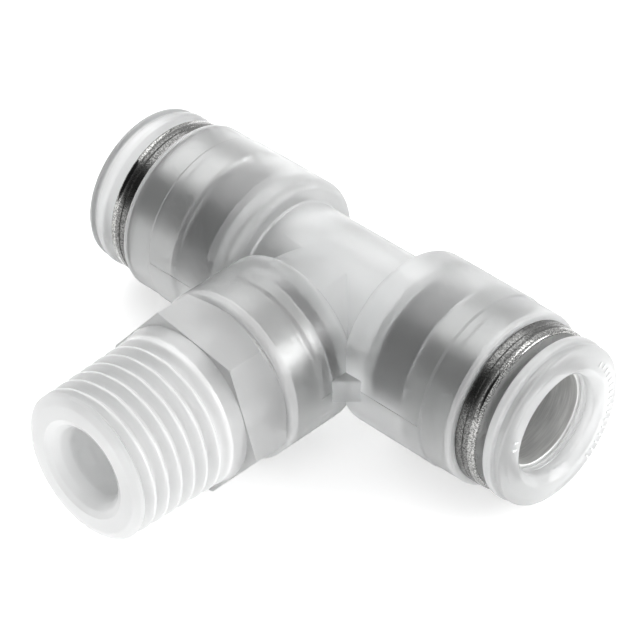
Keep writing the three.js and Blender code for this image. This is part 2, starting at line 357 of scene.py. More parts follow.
class GeometryTree:
    """A geometry node tree with named inputs, built in code and run on a mesh."""

    def __init__(self, name: str, inputs: dict[str, str]) -> None:
        """Makes the tree's ends.

        Args:
            name: The tree's name.
            inputs: Socket type of each named input after the geometry.
        """
        self.tree = bpy.data.node_groups.new(name, "GeometryNodeTree")
        face = self.tree.interface
        face.new_socket("Geometry", in_out="INPUT", socket_type="NodeSocketGeometry")
        self.names = {
            key: face.new_socket(key, in_out="INPUT", socket_type=kind).identifier
            for key, kind in inputs.items()
        }
        face.new_socket("Geometry", in_out="OUTPUT", socket_type="NodeSocketGeometry")
        self.ends = self.node("NodeGroupInput")

    def node(self, kind: str, **settings: str) -> bpy.types.Node:
        """Adds a node with the given settings."""
        new = self.tree.nodes.new(kind)
        for key, value in settings.items():
            setattr(new, key, value)
        return new

    def named(self, key: str) -> Socket:
        """The socket of a named input."""
        return self.ends.outputs[key]

    def feed(self, socket: Socket, value: object) -> None:
        """Links a socket to another one, or gives it a plain value."""
        if isinstance(value, Socket):
            self.tree.links.new(value, socket)
        else:
            socket.default_value = value

    def math(self, operation: str, *values: object, clamp: bool = False) -> Socket:
        """A Math node.

        Args:
            operation: The node's operation.
            values: Sockets or numbers for its inputs, in order.
            clamp: True to hold the result between 0 and 1.

        Returns:
            Its result.
        """
        new = self.node("ShaderNodeMath", operation=operation)
        new.use_clamp = clamp
        for socket, value in zip(new.inputs, values):
            self.feed(socket, value)
        return new.outputs[0]

    def close(self, geometry: Socket) -> None:
        """Ends the tree in Realize Instances and Set Material."""
        realize = self.node("GeometryNodeRealizeInstances")
        paint = self.node("GeometryNodeSetMaterial")
        end = self.node("NodeGroupOutput")
        self.feed(realize.inputs["Geometry"], geometry)
        self.feed(paint.inputs["Geometry"], realize.outputs["Geometry"])
        self.feed(paint.inputs["Material"], self.named("Finish"))
        self.feed(end.inputs["Geometry"], paint.outputs["Geometry"])

    def run(self, mesh: Mesh, **values: object) -> Mesh:
        """Runs the tree on a mesh.

        Args:
            mesh: The mesh that enters the tree.
            values: One value for each named input, spaces written as underscores.

        Returns:
            The plain mesh that leaves it.
        """

        def fit(holder: Holder) -> None:
            """Adds the modifier and sets its inputs by their identifiers."""
            modifier = holder.modifiers.new("tree", "NODES")
            modifier.node_group = self.tree
            for key, value in values.items():
                modifier[self.names[key.replace("_", " ")]] = value

        return evaluated(mesh, fit)


def ring_tree() -> GeometryTree:
    """A tree that repeats a piece round +Z.

    Returns:
        The tree, with inputs Count, Start, Step and Finish.
    """
    tree = GeometryTree("repeat_round_axis", {
        "Count": "NodeSocketInt", "Start": "NodeSocketFloat",
        "Step": "NodeSocketFloat", "Finish": "NodeSocketMaterial",
    })
    points = tree.node("GeometryNodePoints")
    tree.feed(points.inputs["Count"], tree.named("Count"))
    index = tree.node("GeometryNodeInputIndex").outputs[0]
    angle = tree.math("MULTIPLY_ADD", index, tree.named("Step"), tree.named("Start"))
    turn = tree.node("ShaderNodeCombineXYZ")
    tree.feed(turn.inputs["Z"], angle)
    placed = tree.node("GeometryNodeInstanceOnPoints")
    tree.feed(placed.inputs["Points"], points.outputs[0])
    tree.feed(placed.inputs["Instance"], tree.named("Geometry"))
    tree.feed(placed.inputs["Rotation"], turn.outputs[0])
    tree.close(placed.outputs["Instances"])
    return tree


def thread_tree() -> GeometryTree:
    """A tree that cuts a right-hand thread into a rod that stands along +Z.

    Returns:
        The tree, with inputs Pitch, Depth, First, Last, Fade and Finish.
    """
    sizes = dict.fromkeys(("Pitch", "Depth", "First", "Last", "Fade"), "NodeSocketFloat")
    tree = GeometryTree("cut_thread", {**sizes, "Finish": "NodeSocketMaterial"})
    place = tree.node("ShaderNodeSeparateXYZ")
    tree.feed(place.inputs[0], tree.node("GeometryNodeInputPosition").outputs[0])
    x, y, z = place.outputs
    squares = tree.math("ADD", tree.math("MULTIPLY", x, x), tree.math("MULTIPLY", y, y))
    radius = tree.math("SQRT", squares)
    turns = tree.math("DIVIDE", tree.math("ARCTAN2", y, x), TURN)
    phase = tree.math("SUBTRACT", tree.math("DIVIDE", z, tree.named("Pitch")), turns)
    lead, half_turn, crest, root = 0.25, 0.5, 0.05, 0.45
    ramp = tree.math("PINGPONG", tree.math("ADD", phase, lead), half_turn)
    form = tree.node("ShaderNodeMapRange", interpolation_type="SMOOTHSTEP")
    tree.feed(form.inputs["Value"], ramp)
    tree.feed(form.inputs["From Min"], crest)
    tree.feed(form.inputs["From Max"], root)
    past = tree.math("SUBTRACT", z, tree.named("First"))
    left = tree.math("SUBTRACT", tree.named("Last"), z)
    rise = tree.math("DIVIDE", past, tree.named("Pitch"), clamp=True)
    fall = tree.math("DIVIDE", left, tree.named("Fade"), clamp=True)
    cut = tree.math("MULTIPLY", tree.math("MULTIPLY", form.outputs["Result"], tree.named("Depth")),
                    tree.math("MULTIPLY", rise, fall))
    share = tree.math("DIVIDE", tree.math("SUBTRACT", radius, cut),
                      tree.math("MAXIMUM", radius, 1e-6))
    shape = tree.node("ShaderNodeCombineXYZ")
    tree.feed(shape.inputs["X"], tree.math("MULTIPLY", x, share))
    tree.feed(shape.inputs["Y"], tree.math("MULTIPLY", y, share))
    tree.feed(shape.inputs["Z"], z)
    place_points = tree.node("GeometryNodeSetPosition")
    tree.feed(place_points.inputs["Geometry"], tree.named("Geometry"))
    tree.feed(place_points.inputs["Position"], shape.outputs[0])
    tree.close(place_points.outputs["Geometry"])
    return tree


# ---------- finishes


class Surface:
    """A material under construction, with short ways to add nodes."""

    def __init__(self, name: str) -> None:
        """Makes a material that holds one Principled shader.

        Args:
            name: The material's name.
        """
        self.material = bpy.data.materials.new(name)
        self.material.use_nodes = True
        self.nodes = self.material.node_tree.nodes
        self.links = self.material.node_tree.links
        self.shader = next(n for n in self.nodes if n.type == "BSDF_PRINCIPLED")
        self.place = self.nodes.new("ShaderNodeTexCoord").outputs["Object"]

    def set(self, **values: object) -> None:
        """Sets plain values on the shader's own sockets, spaces written as underscores."""
        for key, value in values.items():
            self.shader.inputs[key.replace("_", " ")].default_value = value

    def noise(self, scale: float, detail: float = 3.0,
              stretch: Sequence[float] = (1, 1, 1)) -> Socket:
        """A noise pattern on Object coordinates.

        Args:
            scale: Features for each metre.
            detail: Octaves of the noise.
            stretch: Scale along each axis.

        Returns:
            Its value.
        """
        mapping = self.nodes.new("ShaderNodeMapping")
        mapping.inputs["Scale"].default_value = stretch
        texture = self.nodes.new("ShaderNodeTexNoise")
        texture.inputs["Scale"].default_value = scale
        texture.inputs["Detail"].default_value = detail
        self.links.new(self.place, mapping.inputs["Vector"])
        self.links.new(mapping.outputs[0], texture.inputs["Vector"])
        return texture.outputs["Fac"]

    def spread(self, value: Socket, low: float, high: float,
               first: float = 0.3, last: float = 0.7) -> Socket:
        """Maps the middle of a pattern's range to low and high.

        Args:
            value: The pattern.
            low: Result at first and under it.
            high: Result at last and over it.
            first: Lower end of the range.
            last: Upper end of the range.

        Returns:
            The mapped value.
        """
        node = self.nodes.new("ShaderNodeMapRange")
        self.links.new(value, node.inputs["Value"])
        ends = {"From Min": first, "From Max": last, "To Min": low, "To Max": high}
        for key, number in ends.items():
            node.inputs[key].default_value = number
        return node.outputs["Result"]

    def tint(self, value: Socket, dark: Colour, light: Colour) -> None:
        """Drives the base colour between two colours.

        Args:
            value: A pattern from 0 to 1.
            dark: Colour at 0.
            light: Colour at 1.
        """
        node = self.nodes.new("ShaderNodeMix")
        node.data_type = "RGBA"
        self.links.new(value, node.inputs["Factor"])
        colours = [s for s in node.inputs if s.type == "RGBA"]
        colours[0].default_value = (*dark, 1.0)
        colours[1].default_value = (*light, 1.0)
        result = next(s for s in node.outputs if s.type == "RGBA")
        self.links.new(result, self.shader.inputs["Base Color"])

    def bump(self, value: Socket, height: float, strength: float = 1.0) -> None:
        """Raises the surface by a pattern.

        Args:
            value: The pattern.
            height: Height of the pattern in millimetres.
            strength: Share of the effect.
        """
        node = self.nodes.new("ShaderNodeBump")
        node.inputs["Distance"].default_value = height * MM
        node.inputs["Strength"].default_value = strength
        self.links.new(value, node.inputs["Height"])
        if self.shader.inputs["Normal"].is_linked:
            self.links.new(self.shader.inputs["Normal"].links[0].from_socket, node.inputs["Normal"])
        self.links.new(node.outputs[0], self.shader.inputs["Normal"])

    def rough(self, value: Socket) -> None:
        """Drives the roughness."""
        self.links.new(value, self.shader.inputs["Roughness"])


@dataclass(frozen=True)
class MouldedPlastic:
    """Natural polypropylene: milky, see-through and blurred."""

    name: str
    dark: Colour
    light: Colour
    clearness: float
    roughness: float
    gloss: float = 0.0

    def build(self) -> Material:
        """Flow marks in the colour, fine orange-peel in the surface."""
        surface = Surface(self.name)
        surface.set(Metallic=0.0, IOR=1.49, Transmission_Weight=self.clearness,
                    Coat_Weight=self.gloss, Coat_Roughness=0.12)
        flow = surface.noise(scale=170.0, detail=2.0)
        surface.tint(surface.spread(flow, 0.0, 1.0), self.dark, self.light)
        grain, change = surface.noise(scale=1500.0, detail=1.0), 0.03
        surface.rough(surface.spread(grain, self.roughness - change, self.roughness + change))
        surface.bump(surface.noise(scale=420.0, detail=1.0), height=0.015, strength=0.5)
        return surface.material


@dataclass(frozen=True)
class TurnedSteel:
    """Stainless steel with the fine rings that turning leaves."""

    name: str
    colour: Colour
    roughness: float
    ring_height: float
    facing: Facing

    def build(self) -> Material:
        """Rings along the axis in the roughness and the surface."""
        surface = Surface(self.name)
        surface.set(Metallic=1.0)
        drawn = 0.05
        stretch = (drawn, 1.0, drawn) if self.facing is Facing.BRANCH else (1.0, drawn, drawn)
        rings = surface.noise(scale=9000.0, detail=2.0, stretch=stretch)
        dark = tuple(c * 0.82 for c in self.colour)
        surface.tint(surface.spread(rings, 0.0, 1.0), dark, self.colour)
        surface.rough(surface.spread(rings, self.roughness * 0.8, self.roughness * 1.25))
        surface.bump(rings, self.ring_height, strength=0.6)
        return surface.material


@dataclass(frozen=True)
class GrainedSteel:
    """Stainless steel with a fine rolled grain."""

    name: str
    colour: Colour
    roughness: float
    grain_height: float

    def build(self) -> Material:
        """Speckles in the colour, the roughness and the surface."""
        surface = Surface(self.name)
        surface.set(Metallic=1.0)
        grain = surface.noise(scale=9000.0, detail=2.0)
        dark = tuple(c * 0.35 for c in self.colour)
        surface.tint(surface.spread(grain, 0.0, 1.0, first=0.42, last=0.58), dark, self.colour)
        surface.rough(surface.spread(grain, self.roughness * 1.3, self.roughness * 0.8))
        surface.bump(grain, self.grain_height, strength=0.9)
        return surface.material


@dataclass(frozen=True)
class MouldedRubber:
    """Matt black moulded rubber."""

    name: str
    colour: Colour
    roughness: float

    def build(self) -> Material:
        """Dusty patches and a fine grain."""
        surface = Surface(self.name)
        pale = tuple(c * 1.8 for c in self.colour)
        surface.set(Metallic=0.0, IOR=1.5)
        dust = surface.noise(scale=600.0)
        surface.tint(surface.spread(dust, 0.0, 1.0), self.colour, pale)
        grain, change = surface.noise(scale=5000.0), 0.08
        surface.rough(surface.spread(grain, self.roughness - change, self.roughness + change))
        surface.bump(grain, height=0.008, strength=0.6)
        return surface.material


class Finishes:
    """Every finish of the fitting, built once."""

    def __init__(self) -> None:
        """Builds the materials."""
        clear = (0.9, 0.91, 0.91), (0.96, 0.965, 0.965)
        milky = (0.9, 0.905, 0.905), (0.94, 0.945, 0.945)
        self.housing = MouldedPlastic(
            "polypropylene_housing", *clear, clearness=0.9, roughness=0.34).build()
        self.thick = MouldedPlastic(
            "polypropylene_thick", (0.88, 0.89, 0.89), (0.94, 0.945, 0.945),
            clearness=0.74, roughness=0.36).build()
        self.socket = MouldedPlastic(
            "polypropylene_socket", *clear, clearness=0.9, roughness=0.16).build()
        self.rim = MouldedPlastic(
            "polypropylene_rim", *milky, clearness=0.6, roughness=0.34).build()
        self.stud = MouldedPlastic(
            "polypropylene_thread", (0.92, 0.925, 0.925), (0.955, 0.96, 0.96),
            clearness=0.34, roughness=0.36, gloss=0.5).build()
        self.hexagon = MouldedPlastic(
            "polypropylene_hexagon", *milky, clearness=0.7, roughness=0.35, gloss=0.3).build()
        self.ring = MouldedPlastic(
            "polypropylene_ring", (0.8, 0.81, 0.81), (0.88, 0.885, 0.885),
            clearness=0.7, roughness=0.34, gloss=0.3).build()
        # Ticks on the release ring: painted lighter and less clear than the ring, a painted
        # highlight for light catching the raised embossing.
        self.mark = MouldedPlastic(
            "polypropylene_tick_painted_highlight", (0.95, 0.955, 0.955), (0.97, 0.975, 0.975),
            clearness=0.1, roughness=0.36, gloss=0.5).build()
        self.grained = GrainedSteel("steel_grained", (0.24, 0.24, 0.236), 0.26, 0.008).build()
        self.polished = GrainedSteel("steel_polished", (0.5, 0.5, 0.49), 0.1, 0.0003).build()
        self.spring = GrainedSteel("steel_spring", (0.5, 0.5, 0.5), 0.3, 0.002).build()
        self.rubber = MouldedRubber("rubber_black", (0.016, 0.016, 0.017), 0.6).build()
        turned_looks = {
            Facing.LEFT: ((0.46, 0.46, 0.455), 0.25),
            Facing.RIGHT: ((0.46, 0.46, 0.455), 0.25),
            Facing.BRANCH: ((0.5, 0.5, 0.495), 0.42),
        }
        self.turned = {
            facing: TurnedSteel(
                f"steel_turned_{facing.value}", colour, roughness, 0.005, facing).build()
            for facing, (colour, roughness) in turned_looks.items()
        }
        # Release pusher steel: its colour is raised to near white as painted light, standing in for
        # the light that reaches the bore through the plastic around it.
        self.bored_painted_light = TurnedSteel(
            "steel_bored_painted_light", (0.97, 0.97, 0.96), 0.52, 0.004, Facing.RIGHT).build()


# ---------- pieces


@dataclass
class Workshop:
    """What every sub-assembly shares."""

    crossing: Vector
    finishes: Finishes
    ring_tree: GeometryTree
    thread_tree: GeometryTree

    def deliver(self, name: str, mesh: Mesh, materials: Sequence[Material],
                body: str) -> Holder:
        """Makes the finished piece that stands for a CAD node.

        Args:
            name: The CAD node's name.
            mesh: Its mesh, in the fitting's frame.
            materials: Its materials, in the order of their indices.
            body: The CAD body it rides on.

        Returns:
            The new object.
        """
        mesh.name = f"{name}_shape"
        indices = [face.material_index for face in mesh.polygons]
        mesh.materials.clear()
        for material in materials:
            mesh.materials.append(material)
        mesh.polygons.foreach_set("material_index", indices)
        mesh.shade_smooth()
        mesh.set_sharp_from_angle(angle=SHARP_ANGLE)
        piece = linked(f"{name}_piece", mesh)
        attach(piece, body)
        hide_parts(name)
        log.info("%s: %d faces on %s", piece.name, len(mesh.polygons), body)
        return piece

    def deliver_all(self, facing: Facing, pieces: Sequence[tuple]) -> None:
        """Places and delivers the turned pieces of a sub-assembly.

        Args:
            facing: Where they point.
            pieces: The name, mesh, materials, body and slot of each.
        """
        place = facing.placing(self.crossing)
        for name, mesh, materials, body, slot in pieces:
            self.deliver(name, moved(mesh, place), materials, body)


@dataclass
class TeeHousing:
    """The moulded tee: two run barrels, a branch barrel and the necks between them."""

    way: float = 3.1
    neck: float = 5.97
    barrel: float = 7.71
    barrel_rear: float = 6.3
    rear_round: float = 1.45
    step: float = 15.2
    collar: float = 7.6
    run_rim: float = 18.4
    branch_barrel: float = 7.4
    branch_rim: float = 14.0
    milky_from: float = 17.9
    branch_milky_from: float = 13.1
    thick_to: float = 9.0
    branch_thick_to: float = 6.9
    seal_room: float = 5.9
    cartridge_room: float = 6.77
    cartridge_rear: float = 12.8
    chamber: float = 5.35
    bearing_room: float = 6.75
    bearing_rear: float = 8.85
    mouth: float = 6.9
    socket_within: float = 6.8
    past_rim: float = 1.0
    sides: int = 128

    def barrel_corners(self, radius: float, rim_radius: float, milky: float,
                       rim: float) -> list[Corner]:
        """Outside corners of a barrel, from its neck to its rim."""
        corners = [(self.neck, self.barrel_rear, 0.25), (radius, self.barrel_rear, self.rear_round),
                   (radius, self.thick_to)]
        if rim_radius < radius:
            corners += [(radius, self.step, 0.1), (rim_radius, self.step + 0.2, 0.1)]
        return corners + [(rim_radius, milky), (rim_radius, rim, 0.4)]

    def port_corners(self) -> list[Corner]:
        """Inside corners of a run port, from the way to the rim."""
        stop, seal_rear = 7.6, 9.0
        return [
            (self.way, stop), (4.1, stop), (4.1, seal_rear), (self.seal_room, seal_rear, 0.15),
            (self.seal_room, self.cartridge_rear), (self.cartridge_room, self.cartridge_rear, 0.1),
            (self.cartridge_room, self.run_rim - 0.05), (self.mouth, self.run_rim + 0.08),
            (self.mouth, self.run_rim + self.past_rim),
        ]

    def branch_bore_corners(self) -> list[Corner]:
        """Corners of the branch's bore, from the run's way to beyond the rim."""
        way, start, rear, rim = self.way - 0.01, 0.02, 6.3, self.branch_rim
        return [
            (0, start), (way, start), (way, rear), (self.chamber, rear, 0.2),
            (self.chamber, self.bearing_rear), (self.bearing_room, self.bearing_rear, 0.1),
            (self.bearing_room, rim - 0.15), (self.mouth, rim + 0.05),
            (self.mouth, rim + self.past_rim), (0, rim + self.past_rim),
        ]

    def build(self, shop: Workshop) -> Mesh:
        """Joins the barrels and webs, cuts the sockets.

        Args:
            shop: Gives the crossing.

        Returns:
            The housing's mesh.
        """
        along_run = Facing.RIGHT.placing(shop.crossing)
        along_branch = Facing.BRANCH.placing(shop.crossing)
        half = self.barrel_corners(self.barrel, self.collar, self.milky_from, self.run_rim)
        outside = moved(turned(
            [(0, -self.run_rim), *mirrored(half), *half, (0, self.run_rim)],
            self.sides, False), along_run)
        branch = moved(turned(
            [(0, 0), (self.neck, 0), *self.barrel_corners(
                self.branch_barrel, self.branch_barrel, self.branch_milky_from, self.branch_rim),
             (0, self.branch_rim)],
            self.sides, False), along_branch)
        for solid in (branch, *self.webs(shop.crossing), *self.parting_ridges(shop.crossing)):
            outside = combined(outside, solid, Blend.JOIN)
        port, end = self.port_corners(), self.run_rim + self.past_rim
        run_bore = moved(turned(
            [(0, -end), *mirrored(port), *port, (0, end)], self.sides, False), along_run)
        branch_bore = moved(turned(self.branch_bore_corners(), self.sides, False), along_branch)
        outside = combined(outside, run_bore, Blend.CUT)
        return combined(outside, branch_bore, Blend.CUT)

    def webs(self, crossing: Vector) -> list[Mesh]:
        """The small 45 degree webs in the two inner corners."""
        reach, depth, height, centre = 2.7, 2.2, 2.1, 8.35
        inset = centre - depth / 2 / math.sqrt(2)
        result = []
        for side in (-1, 1):
            place = Matrix.Translation(crossing + Vector((side * inset, -inset, 0)) * MM)
            turn = Matrix.Rotation(side * math.pi / 4, 4, "Z")
            result.append(block((reach, depth, height), place @ turn, 0.12))
        return result

    def parting_ridges(self, crossing: Vector) -> list[Mesh]:
        """Fine raised lines where the mould's halves met."""
        width, proud, root = 0.09, 0.04, 0.2
        run_length, run_middle, branch_length, branch_middle = 6.1, 12.0, 1.6, 9.6
        result = []
        for side in (-1, 1):
            ridges = [
                ((side * run_middle, back * (self.barrel - root + proud)),
                 (run_length, 2 * root, width))
                for back in (-1, 1)
            ]
            ridges.append(((side * (self.branch_barrel - root + proud), -branch_middle),
                           (2 * root, branch_length, width)))
            for centre, size in ridges:
                place = Matrix.Translation(crossing + Vector((*centre, 0)) * MM)
                result.append(block(size, place))
        return result

    def part_of(self, centre: Vector) -> HousingPart:
        """Tells which part of the housing a face belongs to.

        Args:
            centre: The face's centre from the crossing, in millimetres.

        Returns:
            The rim, the thick middle, a socket's inside or the wall.
        """
        along, out = abs(centre.x), -centre.y
        if along > self.milky_from or out > self.branch_milky_from:
            return HousingPart.RIM
        if along < self.thick_to and out < self.branch_thick_to:
            return HousingPart.THICK
        across = centre.y if along > self.thick_to else centre.x
        inside = math.hypot(across, centre.z) < self.socket_within
        return HousingPart.SOCKET if inside else HousingPart.WALL

    def make(self, shop: Workshop) -> None:
        """Delivers the housing."""
        mesh = self.build(shop)
        for face in mesh.polygons:
            face.material_index = self.part_of((face.center - shop.crossing) / MM)
        looks = shop.finishes
        materials = [looks.housing, looks.rim, looks.thick, looks.socket]
        shop.deliver("tee_housing", mesh, materials, "tee")


@dataclass
class TubePort:
    """The seal, cartridge, claws and release ring of one end of the run."""

    facing: Facing
    seal: float = 5.85
    sleeve: float = 6.72
    lip: float = 7.12
    lip_rear: float = 18.5
    lip_groove: float = 19.3
    polished_from: float = 19.82
    sleeve_front: float = 20.45
    chamber: float = 6.3
    chamber_front: float = 15.9
    claws: int = 10
    claw_rear: float = 13.55
    pusher_rear: float = 15.2
    pusher_front: float = 21.45
    head: float = 7.15
    head_rear: float = 21.25
    inside: float = 4.42
    face: float = 23.5
    dish: float = 0.07
    tick_size: Corner = (0.5, 0.16, 0.2)
    tick_radius: float = 5.85
    tick_below: float = 0.002
    tick_step: float = 6.6
    tick_rows: tuple[tuple[int, float], ...] = ((16, -56.0), (2, 161.0))
    sides: int = 144

    def tube_seal(self) -> Mesh:
        """Rubber seal with a lip that leans on the tube."""
        return turned([
            (self.seal, 9.1, 0.2), (self.seal, 10.05, 0.1), (self.seal - 0.18, 10.2, 0.1),
            (self.seal, 10.35, 0.1), (self.seal, 12.65, 0.2), (5.2, 12.65, 0.1), (4.9, 11.9, 0.2),
            (4.05, 11.3, 0.1), (4.05, 10.9, 0.1), (4.6, 10.4, 0.2), (4.25, 9.9, 0.2),
            (4.25, 9.1, 0.1),
        ], self.sides)

    def backing_ring(self) -> Mesh:
        """Thin steel ring between the seal and the claws."""
        return turned([
            (6.25, 13.0, 0.05), (6.25, 13.45, 0.05), (5.6, 13.45, 0.05), (5.4, 13.3, 0.05),
            (4.2, 13.3, 0.05), (4.2, 13.0, 0.05),
        ], self.sides)

    def claw_ring(self, shop: Workshop) -> Mesh:
        """Spring-steel ring with its teeth repeated round it."""
        rear = self.claw_rear
        step, half_tooth = TURN / self.claws, 0.42
        tooth = turned([
            (5.6, rear + 0.85), (5.5, rear + 1.1), (4.05, rear + 0.35, 0.03), (4.2, rear),
            (5.6, rear + 0.62),
        ], 8, True, None, -half_tooth * step, 2 * half_tooth * step)
        teeth = shop.ring_tree.run(
            tooth, Count=self.claws, Start=0.0, Step=step, Finish=shop.finishes.spring)
        band = turned([
            (6.25, rear, 0.05), (6.25, rear + 1.1, 0.05), (5.52, rear + 1.1, 0.05),
            (5.48, rear + 0.6, 0.05), (5.7, rear, 0.05),
        ], self.sides)
        return joined([band, teeth])

    def cartridge_sleeve(self) -> Mesh:
        """Stainless sleeve: satin inside the barrel, grained and polished outside it."""
        groove, shallow = self.lip_groove, self.lip - 0.1

        def pick(radius: float, station: float) -> int:
            """The skin of a stretch of the outline."""
            if radius < self.sleeve + 0.1 or station < self.lip_rear - 0.05:
                return SleeveSkin.TURNED
            return SleeveSkin.GRAINED if station < self.polished_from else SleeveSkin.POLISHED

        return turned([
            (self.chamber, 12.9, 0.05), (self.sleeve, 12.9, 0.2),
            (self.sleeve, self.lip_rear, 0.02), (self.lip, self.lip_rear, 0.08),
            (self.lip, groove - 0.1), (shallow, groove - 0.05, 0.03),
            (shallow, groove + 0.05, 0.03), (self.lip, groove + 0.1), (self.lip, 19.8),
            (self.lip - 0.02, 19.84), (self.lip - 0.02, self.sleeve_front, 0.3),
            (5.35, self.sleeve_front, 0.12), (5.35, self.chamber_front),
            (self.chamber, self.chamber_front),
        ], self.sides, True, pick)

    def release_pusher(self) -> Mesh:
        """Stainless tube that spreads the claws, its flange held in the cartridge."""
        rear, front, bore = self.pusher_rear, self.pusher_front, 4.15
        flange = rear + 0.28, rear + 0.62
        return turned([
            (4.75, rear, 0.1), (5.1, flange[0], 0.05), (5.8, flange[0], 0.05),
            (5.8, flange[1], 0.05), (4.6, flange[1]), (4.6, front, 0.05), (bore, front, 0.1),
            (bore, rear, 0.1),
        ], self.sides)

    def release_ring(self, shop: Workshop) -> Mesh:
        """Plastic ring: rounded flange, shallow waist, domed face and raised ticks."""
        rear, waist, bore, dished = self.head_rear, 6.72, self.inside, self.face - self.dish
        rib = bore - 0.06
        ring = turned([
            (4.7, 17.6, 0.05), (5.15, 17.6, 0.1), (5.15, rear, 0.1), (self.head, rear + 0.02, 0.35),
            (self.head, rear + 0.85, 0.25), (waist, rear + 0.95, 0.1), (waist, rear + 1.42, 0.08),
            (7.03, rear + 1.52, 0.08), (7.0, 23.05, 0.4), (6.35, self.face - 0.1, 0.6),
            (5.6, dished, 0.3), (5.15, dished, 0.4), (bore, 22.75, 0.5), (bore, 22.1),
            (rib, 22.05, 0.04), (bore, 22.0), (bore, 21.72), (rib, 21.67, 0.04), (bore, 21.62),
            (bore, 21.55), (4.7, 21.55),
        ], self.sides)
        height = self.face - self.tick_below - self.tick_size[2] / 2
        place = Matrix.Translation(Vector((self.tick_radius, 0, height)) * MM)
        tick = block(self.tick_size, place, 0.04)
        rows = [
            shop.ring_tree.run(
                tick.copy(), Count=count, Start=math.radians(start),
                Step=math.radians(self.tick_step), Finish=shop.finishes.mark)
            for count, start in self.tick_rows
        ]
        # The ticks take the second finish, painted lighter as a highlight on the raised embossing.
        for row in rows:
            for face in row.polygons:
                face.material_index = 1
        return joined([ring, *rows])

    def make(self, shop: Workshop) -> None:
        """Delivers the pieces of the port."""
        end, looks = self.facing.value, shop.finishes
        steel, release = looks.turned[self.facing], f"{end}_release"
        shop.deliver_all(self.facing, [
            (f"{end}_tube_seal", self.tube_seal(), [looks.rubber], "tee", "epdm_seal"),
            (f"{end}_backing_ring", self.backing_ring(), [steel], "tee", "stainless_ring"),
            (f"{end}_claw_ring", self.claw_ring(shop), [looks.spring], "tee", "spring_steel"),
            (f"{end}_cartridge_sleeve", self.cartridge_sleeve(),
             [steel, looks.grained, looks.polished], "tee", "stainless_sleeve"),
            # The pusher's near-white steel paints light into the bore.
            (f"{end}_release_pusher", self.release_pusher(), [looks.bored_painted_light], release,
             "stainless_sleeve"),
            (f"{end}_release_ring", self.release_ring(shop), [looks.ring, looks.mark], release,
             "polypropylene_release_ring"),
        ])


